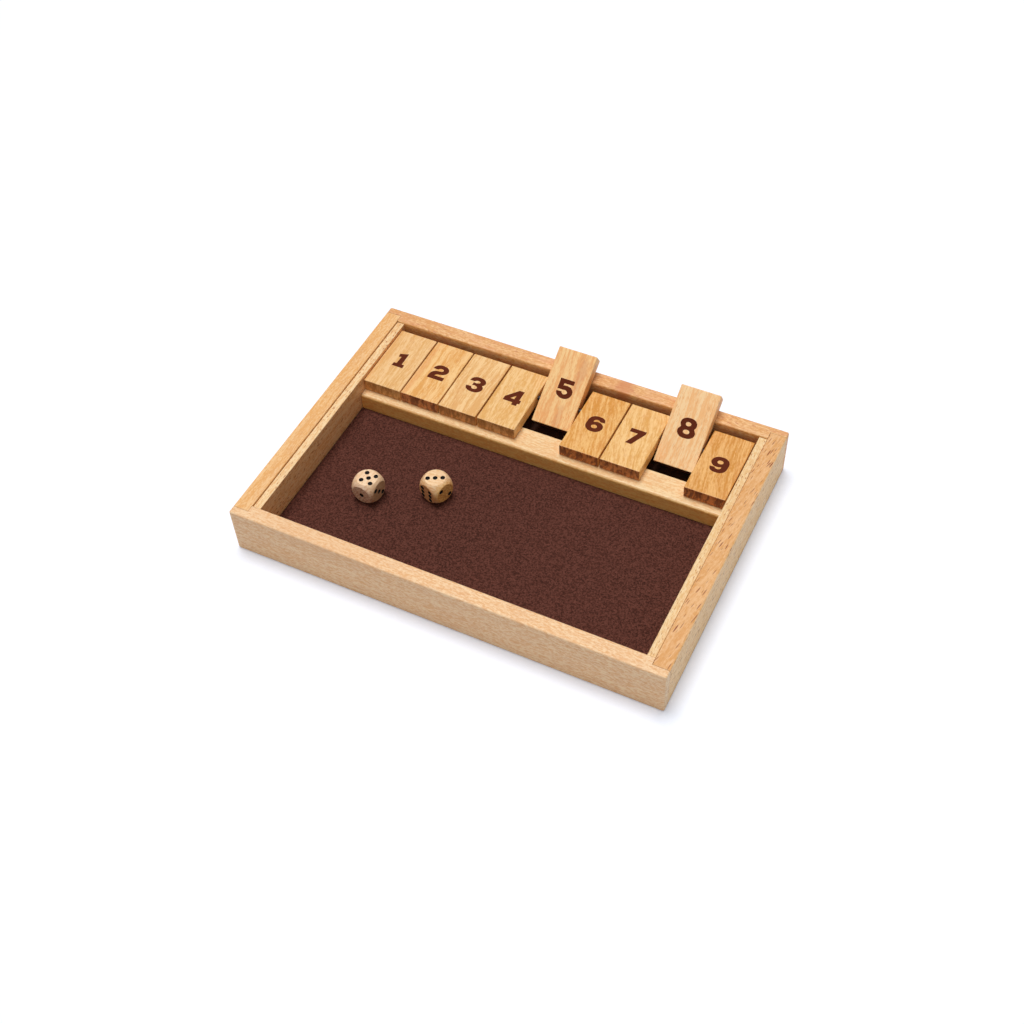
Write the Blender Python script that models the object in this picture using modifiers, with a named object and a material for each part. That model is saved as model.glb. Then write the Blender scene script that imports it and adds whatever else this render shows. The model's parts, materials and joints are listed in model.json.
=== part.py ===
"""Shut the box game: a shallow wooden tray with nine hinged number tiles on a steel rod, and two dice.

Metres, +Z up. The origin is the middle of the tray's underside, +X runs along the row of tiles
from tile 1 to tile 9, and +Y points from the felt to the back rail.
"""

import math

import bmesh
import bpy
from mathutils import Matrix, Vector

# Tiles: how wide, long and thick one is, and how far its far end reaches past the rod
TILE_WIDTH = 0.02625
TILE_LENGTH = 0.0510
TILE_THICKNESS = 0.00825
TILE_TAIL = 0.0157
TILE_ROUND = 0.0005
# All the side play of the row together, and how it is shared out from the left liner to the right one
ROW_PLAY = 0.01235
GAP_SHARES = (0.030, 0.075, 0.070, 0.090, 0.170, 0.190, 0.085, 0.080, 0.115, 0.095)
TIPPED_TILES = (5, 8)
TILE_END_GAP = 0.0039
TAIL_CLEARANCE = 0.0011

# Pivot rod
ROD_RADIUS = 0.0015
ROD_CHAMFER = 0.0003
BORE_CLEARANCE = 0.0003

# Outer rails: how far their tops stand above the flat tiles, and how thick they are. The long ones
# run the full width, lap over the side rails' ends with a tongue, and have slightly rounded outer corners
RAIL_ABOVE_TILES = 0.00324
LONG_RAIL_THICKNESS = 0.0102
SIDE_RAIL_THICKNESS = 0.0104
TONGUE_THICKNESS = 0.0051
RAIL_ROUND = 0.0010
CORNER_ROUND = 0.0013
GROOVE_DEPTH = 0.0035

# Liner strips inside the side rails
LINER_THICKNESS = 0.0050
LINER_DROP = 0.0010
LINER_ROUND = 0.0004

# Ledge that the near ends of the tiles lie on
LEDGE_DEPTH = 0.0172
LEDGE_SETBACK = 0.0056
LEDGE_ROUND = 0.0016

# Base board in its groove, and the felt on it
BASE_LIFT = 0.0054
BASE_THICKNESS = 0.0032
FELT_THICKNESS = 0.0015
TRAY_DEPTH = 0.1165

# Dice with ball corners and sunk pips
DIE_SIDE = 0.0160
DIE_BALL_RADIUS = 0.0103
PIP_SPACING = 0.0065
PIP_RADIUS = 0.00135
PIP_DEPTH = 0.0008

# Gap between pieces that rest on or beside each other, and the tighter one in the glued corners
FIT_GAP = 0.0003
JOINT_GAP = 0.0002
CUT_OVERRUN = 0.0020

ROUND_STEPS = 3
CORNER_STEPS = 4
FINE_ROUND_STEPS = 2
ROD_SIDES = 24
BALL_SIDES = 32
PIP_SIDES = 10

TILE_COUNT = len(GAP_SHARES) - 1

# Widths, from the row of tiles outwards
ROW_WIDTH = TILE_COUNT * TILE_WIDTH + ROW_PLAY
LINER_INNER_X = ROW_WIDTH / 2
LINER_OUTER_X = LINER_INNER_X + LINER_THICKNESS
SIDE_INNER_X = LINER_OUTER_X + FIT_GAP
HALF_WIDTH = SIDE_INNER_X + SIDE_RAIL_THICKNESS

# Depths, from the middle of the tray
INNER_DEPTH = TRAY_DEPTH + LEDGE_SETBACK + TILE_LENGTH + TILE_END_GAP
INNER_Y = INNER_DEPTH / 2
HALF_DEPTH = INNER_Y + LONG_RAIL_THICKNESS
SHOULDER_Y = HALF_DEPTH - TONGUE_THICKNESS
LEDGE_FRONT_Y = TRAY_DEPTH - INNER_Y
LEDGE_BACK_Y = LEDGE_FRONT_Y + LEDGE_DEPTH
ROD_Y = INNER_Y - TILE_END_GAP - TILE_TAIL

# Heights, from the underside
BASE_TOP_Z = BASE_LIFT + BASE_THICKNESS
SEAT_Z = BASE_TOP_Z + FIT_GAP
FELT_TOP_Z = SEAT_Z + FELT_THICKNESS
TAIL_SWING = math.hypot(TILE_TAIL, TILE_THICKNESS / 2)
ROD_Z = BASE_TOP_Z + TAIL_SWING + TAIL_CLEARANCE
LEDGE_TOP_Z = ROD_Z - TILE_THICKNESS / 2 - FIT_GAP
RAIL_HEIGHT = ROD_Z + TILE_THICKNESS / 2 + RAIL_ABOVE_TILES
LINER_TOP_Z = RAIL_HEIGHT - LINER_DROP

# Where each die's centre is: shares of the row's width from the middle, and of the felt's depth
# from the front rail, then the turn about the upright axis in degrees
DIE_SHARES = {"die_left": (-0.3289, 0.4497), "die_right": (-0.1758, 0.5967)}
DIE_TURNS = {"die_left": -4.0, "die_right": -18.5}
# Pips on each face: the face's outward axis, the number, whether the pattern is turned a quarter,
# and how far it was drilled off the middle, right and up, as shares of the pip spacing
DIE_FACES = {
    "die_left": (
        ("+Z", 5, False, (0.085, 0.077)),
        ("-Z", 2, False, (0.0, 0.0)),
        ("-Y", 1, False, (0.0, 0.03)),
        ("+Y", 6, False, (0.02, 0.0)),
        ("+X", 3, False, (-0.077, 0.054)),
        ("-X", 4, False, (0.0, 0.0)),
    ),
    "die_right": (
        ("+Z", 3, True, (0.018, -0.025)),
        ("-Z", 4, False, (0.0, 0.0)),
        ("-Y", 6, False, (-0.05, -0.1)),
        ("+Y", 1, False, (0.0, 0.0)),
        ("+X", 2, False, (0.04, 0.017)),
        ("-X", 5, False, (0.0, 0.0)),
    ),
}
# Places of the pips on a face, as shares of half the pip spacing
PIP_SHARES = {
    1: ((0, 0),),
    2: ((-1, 1), (1, -1)),
    3: ((-1, 1), (0, 0), (1, -1)),
    4: ((-1, 1), (1, 1), (-1, -1), (1, -1)),
    5: ((-1, 1), (1, 1), (0, 0), (-1, -1), (1, -1)),
    6: ((-1, 1), (-1, 0), (-1, -1), (1, 1), (1, 0), (1, -1)),
}
# Each face's outward axis with the directions to its right and up as seen from outside
FACE_AXES = {
    "+X": ((1, 0, 0), (0, 1, 0), (0, 0, 1)),
    "-X": ((-1, 0, 0), (0, -1, 0), (0, 0, 1)),
    "+Y": ((0, 1, 0), (-1, 0, 0), (0, 0, 1)),
    "-Y": ((0, -1, 0), (1, 0, 0), (0, 0, 1)),
    "+Z": ((0, 0, 1), (1, 0, 0), (0, 1, 0)),
    "-Z": ((0, 0, -1), (1, 0, 0), (0, -1, 0)),
}


def tip_angle():
    """How far a tile turns from flat until its numbered face leans on the back rail's rounded edge."""
    across = INNER_Y + RAIL_ROUND - ROD_Y
    above = RAIL_HEIGHT - RAIL_ROUND - ROD_Z
    reach = math.hypot(across, above)
    standoff = RAIL_ROUND + FIT_GAP + TILE_THICKNESS / 2
    lean = math.atan2(above, across) + math.asin(standoff / reach)
    return math.pi - lean


def clear_scene():
    for obj in list(bpy.data.objects):
        bpy.data.objects.remove(obj)


def new_collection(name, hidden=False):
    found = bpy.data.collections.new(name)
    found.hide_render = hidden
    bpy.context.scene.collection.children.link(found)
    return found


def finish_material(name, colour, roughness, metallic=0.0):
    material = bpy.data.materials.new(name)
    material.use_nodes = True
    shader = material.node_tree.nodes["Principled BSDF"]
    shader.inputs["Base Color"].default_value = (*colour, 1.0)
    shader.inputs["Roughness"].default_value = roughness
    shader.inputs["Metallic"].default_value = metallic
    return material


def make_materials():
    return {
        "rail": finish_material("rail_wood", (0.78, 0.50, 0.24), 0.55),
        "liner": finish_material("liner_wood", (0.84, 0.62, 0.36), 0.55),
        "ledge": finish_material("ledge_wood", (0.80, 0.58, 0.32), 0.55),
        "tile": finish_material("tile_wood", (0.78, 0.52, 0.24), 0.50),
        "base": finish_material("base_board", (0.30, 0.20, 0.12), 0.70),
        "felt": finish_material("felt", (0.080, 0.028, 0.022), 0.95),
        "rod": finish_material("rod_steel", (0.62, 0.62, 0.64), 0.30, 1.0),
        "die_left": finish_material("pale_dice_wood", (0.85, 0.68, 0.40), 0.45),
        "die_right": finish_material("warm_dice_wood", (0.80, 0.56, 0.25), 0.45),
    }


def mesh_object(name, bm, collection, location=(0, 0, 0), material=None):
    """A new object of this bmesh, whose points are measured from location."""
    bm.normal_update()
    bmesh.ops.recalc_face_normals(bm, faces=bm.faces)
    mesh = bpy.data.meshes.new(name)
    bm.to_mesh(mesh)
    bm.free()
    if material:
        mesh.materials.append(material)
    obj = bpy.data.objects.new(name, mesh)
    obj.location = location
    collection.objects.link(obj)
    return obj


def cutter_object(name, bm, collection, location=(0, 0, 0)):
    obj = mesh_object(name, bm, collection, location)
    obj.hide_render = True
    obj.display_type = "WIRE"
    return obj


def box_bmesh(low, high, origin=(0, 0, 0)):
    """A box from corner low to corner high, measured from origin."""
    low, high, origin = Vector(low), Vector(high), Vector(origin)
    bm = bmesh.new()
    bmesh.ops.create_cube(bm, size=1)
    bmesh.ops.scale(bm, vec=high - low, verts=bm.verts)
    bmesh.ops.translate(bm, vec=(low + high) / 2 - origin, verts=bm.verts)
    return bm


def rail_blank_bmesh(side):
    """A full-width board, its two upright corners on the outer side (side -1 or 1) rounded."""
    plan = [Vector((-HALF_WIDTH, side * INNER_Y, 0)), Vector((HALF_WIDTH, side * INNER_Y, 0))]
    for end in (1, -1):
        centre = Vector(
            (end * (HALF_WIDTH - CORNER_ROUND), side * (HALF_DEPTH - CORNER_ROUND), 0)
        )
        for step in range(CORNER_STEPS + 1):
            share = step / CORNER_STEPS if end > 0 else 1 - step / CORNER_STEPS
            turn = share * math.radians(90)
            arm = Vector((end * math.cos(turn), side * math.sin(turn), 0))
            plan.append(centre + arm * CORNER_ROUND)
    bm = bmesh.new()
    low = [bm.verts.new(point) for point in plan]
    high = [bm.verts.new(point + Vector((0, 0, RAIL_HEIGHT))) for point in plan]
    bm.faces.new(low)
    bm.faces.new(high)
    for i in range(len(plan)):
        bm.faces.new((low[i - 1], low[i], high[i], high[i - 1]))
    return bm


def cylinder_bmesh(radius, length, sides):
    """A closed cylinder along X, centred on the origin."""
    bm = bmesh.new()
    bmesh.ops.create_cone(
        bm, cap_ends=True, segments=sides, radius1=radius, radius2=radius, depth=length
    )
    quarter_turn = Matrix.Rotation(math.radians(90), 3, "Y")
    bmesh.ops.rotate(bm, cent=(0, 0, 0), matrix=quarter_turn, verts=bm.verts)
    return bm


def round_edges(obj, radius_at, steps=ROUND_STEPS):
    """Rounds each edge by radius_at(its middle, its direction), where that is above zero."""
    bm = bmesh.new()
    bm.from_mesh(obj.data)
    middles = [sum((v.co for v in edge.verts), Vector()) / 2 for edge in bm.edges]
    runs = [(edge.verts[1].co - edge.verts[0].co).normalized() for edge in bm.edges]
    radii = [radius_at(middle, run) for middle, run in zip(middles, runs)]
    widest = max(radii)
    weights = bm.edges.layers.float.new("bevel_weight_edge")
    for edge, radius in zip(bm.edges, radii):
        edge[weights] = radius / widest
    bm.to_mesh(obj.data)
    bm.free()
    bevel = obj.modifiers.new("round", "BEVEL")
    bevel.limit_method = "WEIGHT"
    bevel.offset_type = "OFFSET"
    bevel.width = widest
    bevel.segments = steps


def add_boolean(obj, cutter, operation="DIFFERENCE"):
    boolean = obj.modifiers.new(cutter.name, "BOOLEAN")
    boolean.operation = operation
    boolean.solver = "EXACT"
    boolean.object = cutter


def make_rebate_cutters(cutters):
    """The room that each side rail takes out of the long rails' inner halves at the corners."""
    made = []
    for side, name in ((-1, "left_rebate"), (1, "right_rebate")):
        inner = side * (SIDE_INNER_X - JOINT_GAP)
        outer = side * (HALF_WIDTH + CUT_OVERRUN)
        low = (min(inner, outer), -SHOULDER_Y, -CUT_OVERRUN)
        high = (max(inner, outer), SHOULDER_Y, RAIL_HEIGHT + CUT_OVERRUN)
        made.append(cutter_object(name, box_bmesh(low, high), cutters))
    return made


def make_groove_cutter(cutters):
    """The groove round the inside of the rails: the base board's shape, grown by the fit gap."""
    reach_x = SIDE_INNER_X + GROOVE_DEPTH
    reach_y = INNER_Y + GROOVE_DEPTH
    low = (-reach_x, -reach_y, BASE_LIFT - FIT_GAP)
    high = (reach_x, reach_y, BASE_TOP_Z + FIT_GAP)
    return cutter_object("base_groove", box_bmesh(low, high), cutters)


def make_long_rail(name, side, rebates, groove, parts, material):
    """A full-width rail at the front (side -1) or the back (side 1), rebated for the side rails."""
    rail = mesh_object(name, rail_blank_bmesh(side), parts, material=material)
    round_edges(rail, lambda middle, run: RAIL_ROUND if abs(run.z) < 0.5 else 0)
    for rebate in rebates:
        add_boolean(rail, rebate)
    add_boolean(rail, groove)
    return rail


def make_side_rail(name, side, groove, parts, material):
    """A side rail between the long rails' tongues, at the left (side -1) or the right (side 1)."""
    near, far = sorted((side * SIDE_INNER_X, side * HALF_WIDTH))
    reach = SHOULDER_Y - JOINT_GAP
    rail = mesh_object(
        name,
        box_bmesh((near, -reach, 0), (far, reach, RAIL_HEIGHT)),
        parts,
        material=material,
    )

    def radius_at(middle, run):
        if abs(run.y) < 0.5:
            return 0
        if side * middle.x > SIDE_INNER_X + SIDE_RAIL_THICKNESS / 2:
            return RAIL_ROUND
        return LINER_ROUND if middle.z > RAIL_HEIGHT / 2 else 0

    round_edges(rail, radius_at)
    add_boolean(rail, groove)
    return rail


def make_liner(name, side, parts, cutters, material):
    """A thin strip inside a side rail, from the front rail to the back rail, with the rod's bore."""
    near, far = sorted((side * LINER_INNER_X, side * LINER_OUTER_X))
    reach = INNER_Y - FIT_GAP
    liner = mesh_object(
        name,
        box_bmesh((near, -reach, SEAT_Z), (far, reach, LINER_TOP_Z)),
        parts,
        material=material,
    )
    middle_z = (SEAT_Z + LINER_TOP_Z) / 2
    round_edges(
        liner,
        lambda middle, run: LINER_ROUND if abs(run.y) > 0.5 and middle.z > middle_z else 0,
        FINE_ROUND_STEPS,
    )
    bore = cylinder_bmesh(
        ROD_RADIUS + BORE_CLEARANCE, LINER_THICKNESS + 2 * CUT_OVERRUN, ROD_SIDES
    )
    place = ((near + far) / 2, ROD_Y, ROD_Z)
    add_boolean(liner, cutter_object(name + "_bore", bore, cutters, place))
    return liner


def make_ledge(parts, material):
    """The bar across the tray that carries the tiles' near ends, with a rounded front edge."""
    reach = LINER_INNER_X - FIT_GAP
    ledge = mesh_object(
        "tile_ledge",
        box_bmesh((-reach, LEDGE_FRONT_Y, SEAT_Z), (reach, LEDGE_BACK_Y, LEDGE_TOP_Z)),
        parts,
        material=material,
    )
    middle_y = (LEDGE_FRONT_Y + LEDGE_BACK_Y) / 2
    middle_z = (SEAT_Z + LEDGE_TOP_Z) / 2

    def radius_at(middle, run):
        if abs(run.x) < 0.5 or middle.z < middle_z:
            return 0
        return LEDGE_ROUND if middle.y < middle_y else LINER_ROUND

    round_edges(ledge, radius_at)
    return ledge


def make_base(parts, material):
    reach_x = SIDE_INNER_X + GROOVE_DEPTH - FIT_GAP
    reach_y = INNER_Y + GROOVE_DEPTH - FIT_GAP
    bm = box_bmesh((-reach_x, -reach_y, BASE_LIFT), (reach_x, reach_y, BASE_TOP_Z))
    return mesh_object("base_board", bm, parts, material=material)


def make_felt(parts, material):
    reach_x = LINER_INNER_X - FIT_GAP
    low = (-reach_x, FIT_GAP - INNER_Y, SEAT_Z)
    high = (reach_x, LEDGE_FRONT_Y - FIT_GAP, FELT_TOP_Z)
    return mesh_object("playing_felt", box_bmesh(low, high), parts, material=material)


def make_rod(parts, material):
    """The steel rod through all the tiles, ending just inside the liners' outer faces."""
    length = 2 * (LINER_OUTER_X - FIT_GAP)
    rod = mesh_object(
        "pivot_rod",
        cylinder_bmesh(ROD_RADIUS, length, ROD_SIDES),
        parts,
        (0, ROD_Y, ROD_Z),
        material,
    )
    rod.data.shade_smooth()
    rod.data.set_sharp_from_angle(angle=math.radians(40))
    round_edges(rod, lambda middle, run: ROD_CHAMFER if abs(run.x) < 0.5 else 0, steps=1)
    return rod


def tile_centres():
    """The tiles' middles along X, from the gaps left of each."""
    gaps = [ROW_PLAY * share / sum(GAP_SHARES) for share in GAP_SHARES]
    return [
        -ROW_WIDTH / 2 + sum(gaps[: i + 1]) + (i + 0.5) * TILE_WIDTH
        for i in range(TILE_COUNT)
    ]


def make_tile(number, centre_x, tipped, parts, cutters, material):
    """A tile whose object stands on the rod's axis, flat or tipped back against the back rail."""
    bm = box_bmesh(
        (-TILE_WIDTH / 2, TILE_TAIL - TILE_LENGTH, -TILE_THICKNESS / 2),
        (TILE_WIDTH / 2, TILE_TAIL, TILE_THICKNESS / 2),
    )
    tile = mesh_object(f"tile_{number}", bm, parts, (centre_x, ROD_Y, ROD_Z), material)
    tile.rotation_euler.x = -tip_angle() if tipped else 0
    round_edges(tile, lambda middle, run: TILE_ROUND, FINE_ROUND_STEPS)
    bore = cylinder_bmesh(
        ROD_RADIUS + BORE_CLEARANCE, TILE_WIDTH + 2 * CUT_OVERRUN, ROD_SIDES
    )
    cutter = cutter_object(tile.name + "_bore", bore, cutters)
    cutter.parent = tile
    add_boolean(tile, cutter)
    return tile


def pip_bmesh(faces):
    """Small balls sunk into a die's faces, for cutting its pips."""
    ball_radius = (PIP_RADIUS**2 + PIP_DEPTH**2) / (2 * PIP_DEPTH)
    height = DIE_SIDE / 2 + ball_radius - PIP_DEPTH
    bm = bmesh.new()
    for face, number, turned, (right_share, up_share) in faces:
        outward, right, up = (Vector(axis) for axis in FACE_AXES[face])
        middle = (right * right_share + up * up_share) * PIP_SPACING
        for across, along in PIP_SHARES[number]:
            if turned:
                across, along = -along, across
            offset = middle + (right * across + up * along) * PIP_SPACING / 2
            ball = bmesh.ops.create_uvsphere(
                bm, u_segments=PIP_SIDES, v_segments=PIP_SIDES // 2, radius=ball_radius
            )
            lift = outward.to_track_quat("Z", "Y").to_matrix()
            bmesh.ops.rotate(bm, cent=(0, 0, 0), matrix=lift, verts=ball["verts"])
            bmesh.ops.translate(bm, vec=outward * height + offset, verts=ball["verts"])
    return bm


def make_die(name, parts, cutters, material):
    """A cube with its corners turned off by a ball and its pips sunk in, lying on the felt."""
    share_x, share_y = DIE_SHARES[name]
    place = (
        share_x * ROW_WIDTH,
        share_y * TRAY_DEPTH - INNER_Y,
        FELT_TOP_Z + FIT_GAP + DIE_SIDE / 2,
    )
    half = Vector((DIE_SIDE, DIE_SIDE, DIE_SIDE)) / 2
    die = mesh_object(name, box_bmesh(-half, half), parts, place, material)
    die.rotation_euler.z = math.radians(DIE_TURNS[name])
    ball_bm = bmesh.new()
    bmesh.ops.create_uvsphere(
        ball_bm, u_segments=BALL_SIDES, v_segments=BALL_SIDES // 2, radius=DIE_BALL_RADIUS
    )
    ball = cutter_object(name + "_ball", ball_bm, cutters)
    ball.data.shade_smooth()
    pips = cutter_object(name + "_pips", pip_bmesh(DIE_FACES[name]), cutters)
    pips.data.shade_smooth()
    for cutter in (ball, pips):
        cutter.parent = die
    add_boolean(die, ball, "INTERSECT")
    add_boolean(die, pips)
    return die


def main():
    clear_scene()
    parts = new_collection("shut_the_box")
    cutters = new_collection("cutters", hidden=True)
    materials = make_materials()

    rebates = make_rebate_cutters(cutters)
    groove = make_groove_cutter(cutters)
    for name, side in (("front_rail", -1), ("back_rail", 1)):
        make_long_rail(name, side, rebates, groove, parts, materials["rail"])
    for name, side in (("left_rail", -1), ("right_rail", 1)):
        make_side_rail(name, side, groove, parts, materials["rail"])
    for name, side in (("left_liner", -1), ("right_liner", 1)):
        make_liner(name, side, parts, cutters, materials["liner"])
    make_base(parts, materials["base"])
    make_felt(parts, materials["felt"])
    make_ledge(parts, materials["ledge"])
    make_rod(parts, materials["rod"])
    for number, centre_x in enumerate(tile_centres(), start=1):
        make_tile(
            number, centre_x, number in TIPPED_TILES, parts, cutters, materials["tile"]
        )
    for name in DIE_SHARES:
        make_die(name, parts, cutters, materials[name])


main()
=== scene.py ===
"""Finish of the shut the box game: woods, felt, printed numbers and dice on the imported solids.

Metres, +Z up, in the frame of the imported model: +X runs along the row of tiles from 1 to 9, +Y
points from the felt to the back rail, and the tray stands on Z = 0.
"""

import json
import logging
import math
from collections.abc import Iterable, Sequence
from dataclasses import dataclass
from enum import Enum

import bpy
from mathutils import Matrix, Vector


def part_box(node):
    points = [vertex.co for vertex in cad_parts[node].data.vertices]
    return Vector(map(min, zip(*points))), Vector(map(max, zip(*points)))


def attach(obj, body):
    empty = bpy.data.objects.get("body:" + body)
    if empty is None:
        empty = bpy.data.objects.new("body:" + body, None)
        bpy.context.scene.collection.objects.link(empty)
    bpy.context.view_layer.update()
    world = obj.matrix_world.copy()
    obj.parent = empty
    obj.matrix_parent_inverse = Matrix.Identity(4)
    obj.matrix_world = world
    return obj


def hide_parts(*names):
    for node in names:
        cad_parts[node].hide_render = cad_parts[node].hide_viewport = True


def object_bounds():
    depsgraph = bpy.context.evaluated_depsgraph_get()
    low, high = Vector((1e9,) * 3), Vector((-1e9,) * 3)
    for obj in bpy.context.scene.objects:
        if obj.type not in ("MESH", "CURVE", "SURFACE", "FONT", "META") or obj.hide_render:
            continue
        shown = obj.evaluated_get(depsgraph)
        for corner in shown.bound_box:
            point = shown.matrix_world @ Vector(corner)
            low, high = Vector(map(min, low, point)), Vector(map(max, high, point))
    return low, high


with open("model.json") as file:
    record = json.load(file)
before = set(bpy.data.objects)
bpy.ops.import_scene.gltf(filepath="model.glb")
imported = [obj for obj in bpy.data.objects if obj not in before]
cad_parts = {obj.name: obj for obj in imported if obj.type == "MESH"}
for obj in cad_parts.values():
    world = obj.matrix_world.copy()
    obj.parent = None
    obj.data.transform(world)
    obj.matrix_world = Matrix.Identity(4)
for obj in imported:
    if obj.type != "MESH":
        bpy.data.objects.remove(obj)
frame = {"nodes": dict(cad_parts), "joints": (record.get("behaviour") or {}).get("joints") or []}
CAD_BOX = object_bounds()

log = logging.getLogger("shut_the_box")

MM = 0.001
Triple = tuple[float, float, float]
Colour = tuple[float, float, float, float]
Material = bpy.types.Material
Piece = bpy.types.Object
Socket = bpy.types.NodeSocket
Tree = bpy.types.NodeTree


def tint(red: int, green: int, blue: int) -> Colour:
    """Turns a colour as a screen shows it into the linear one that a shader reads.

    Args:
        red: Red from 0 to 255.
        green: Green from 0 to 255.
        blue: Blue from 0 to 255.

    Returns:
        Linear red, green and blue with an alpha of one.
    """

    def linear(level: int) -> float:
        """Undoes the screen's curve for one channel."""
        share = level / 255
        return share / 12.92 if share <= 0.04045 else ((share + 0.055) / 1.055) ** 2.4

    return (linear(red), linear(green), linear(blue), 1.0)


class Grain(Enum):
    """Which way a board's fibres run, as the turn about Z that lays them along the pattern's X."""

    ALONG_X = 0.0
    ALONG_Y = -math.pi / 2

    @property
    def direction(self) -> Vector:
        """The direction of the fibres in the board's own space."""
        return Vector((1, 0, 0)) if self is Grain.ALONG_X else Vector((0, 1, 0))


class Corner(Enum):
    """How an outline passes through one of its points."""

    SHARP = "VECTOR"
    ROUND = "AUTO"


Outline = tuple[tuple[float, float, Corner], ...]


class Graph:
    """Adds nodes to one node tree and links them."""

    def __init__(self, tree: Tree) -> None:
        """Takes the tree that the nodes go into."""
        self.tree = tree

    def feed(self, socket: Socket, value: object) -> None:
        """Links a socket to another one, or sets its value."""
        if isinstance(value, Socket):
            self.tree.links.new(value, socket)
        else:
            socket.default_value = value

    def add(
        self, kind: str, feeds: dict[str | int, object] | None = None, **settings: object
    ) -> bpy.types.Node:
        """Adds a node.

        Args:
            kind: The node's type name.
            feeds: What goes into its inputs, by name or number.
            **settings: The node's own properties.

        Returns:
            The new node.
        """
        node = self.tree.nodes.new(kind)
        for name, value in settings.items():
            setattr(node, name, value)
        for key, value in (feeds or {}).items():
            self.feed(node.inputs[key], value)
        return node

    def math(
        self, operation: str, first: object, second: object = 0.0, clamp: bool = False
    ) -> Socket:
        """Adds a sum of two numbers and returns its result."""
        node = self.add(
            "ShaderNodeMath", {0: first, 1: second}, operation=operation, use_clamp=clamp
        )
        return node.outputs[0]

    def plus(self, first: object, second: object) -> Socket:
        """Adds the sum of two numbers."""
        return self.math("ADD", first, second)

    def minus(self, first: object, second: object) -> Socket:
        """Adds the difference of two numbers."""
        return self.math("SUBTRACT", first, second)

    def times(self, first: object, second: object) -> Socket:
        """Adds the product of two numbers."""
        return self.math("MULTIPLY", first, second)

    def vector(self, operation: str, first: object, second: object = (0.0, 0.0, 0.0)) -> Socket:
        """Adds a sum of two vectors and returns its vector."""
        node = self.add("ShaderNodeVectorMath", {0: first, 1: second}, operation=operation)
        return node.outputs["Value" if operation == "DOT_PRODUCT" else "Vector"]

    def noise(
        self, where: object, scale: object, detail: float = 2.0, rough: float = 0.5,
        shift: float = 0.0, twist: float = 0.0,
    ) -> Socket:
        """Adds a noise with so many lumps a metre along each axis and returns its level."""
        moved = self.vector("ADD", self.vector("MULTIPLY", where, scale), (shift,) * 3)
        feeds = {"Vector": moved, "Scale": 1.0, "Detail": detail, "Roughness": rough}
        return self.add("ShaderNodeTexNoise", feeds | {"Distortion": twist}).outputs[0]

    def step(
        self, value: object, low: object, high: object, start: float = 0.0, end: float = 1.0
    ) -> Socket:
        """Adds a smooth rise of value from start at low to end at high."""
        node = self.add(
            "ShaderNodeMapRange", {0: value, 1: low, 2: high, 3: start, 4: end},
            interpolation_type="SMOOTHSTEP",
        )
        return node.outputs[0]

    def mix(self, share: object, first: object, second: object, blend: str = "MIX") -> Socket:
        """Adds a mix of two colours and returns it."""
        feeds = {"Factor": share, 6: first, 7: second}
        return self.add("ShaderNodeMix", feeds, data_type="RGBA", blend_type=blend).outputs[2]

    def split(self, vector: object) -> Sequence[Socket]:
        """Adds a split of a vector and returns its X, Y and Z."""
        return self.add("ShaderNodeSeparateXYZ", {0: vector}).outputs

    def join(self, *parts: object) -> Socket:
        """Adds a vector made of three numbers."""
        return self.add("ShaderNodeCombineXYZ", dict(enumerate(parts))).outputs[0]

    def group(self, tree: Tree, feeds: dict[str, object]) -> Sequence:
        """Adds a node group and returns its outputs."""
        return self.add("ShaderNodeGroup", feeds, node_tree=tree).outputs


class Surface(Graph):
    """The graph of a new material, with its shader and its object coordinates."""

    def __init__(self, name: str) -> None:
        """Makes the material, of this name."""
        self.made = bpy.data.materials.new(name)
        self.made.use_nodes = True
        super().__init__(self.made.node_tree)
        self.shader = self.tree.nodes["Principled BSDF"]
        coordinates = self.add("ShaderNodeTexCoord").outputs
        self.place = coordinates["Object"]
        self.normal = coordinates["Normal"]

    def finish(self, feeds: dict[str, object]) -> None:
        """Links or sets the shader's inputs, by name."""
        for name, value in feeds.items():
            self.feed(self.shader.inputs[name], value)

    def bump(self, height: object, strength: float, depth: float) -> None:
        """Raises the surface by a height, as light shows it."""
        feeds = {"Height": height, "Strength": strength, "Distance": depth}
        self.finish({"Normal": self.add("ShaderNodeBump", feeds).outputs[0]})


def new_group(
    name: str, takes: dict[str, str], gives: dict[str, str]
) -> tuple[Tree, Graph, Sequence, Sequence]:
    """Makes an empty shader node group with named sockets.

    Args:
        name: The group's name.
        takes: The kinds of input, Vector, Color or Float, each with names parted by commas.
        gives: The same of the outputs.

    Returns:
        The group, a graph for it, what its inputs give inside, and what its outputs take.
    """
    tree = bpy.data.node_groups.new(name, "ShaderNodeTree")
    for way, kinds in (("INPUT", takes), ("OUTPUT", gives)):
        for kind, labels in kinds.items():
            for label in labels.split(", "):
                tree.interface.new_socket(label, in_out=way, socket_type=f"NodeSocket{kind}")
    graph = Graph(tree)
    inside = graph.add("NodeGroupInput").outputs
    outside = graph.add("NodeGroupOutput").inputs
    return tree, graph, inside, outside


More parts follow.
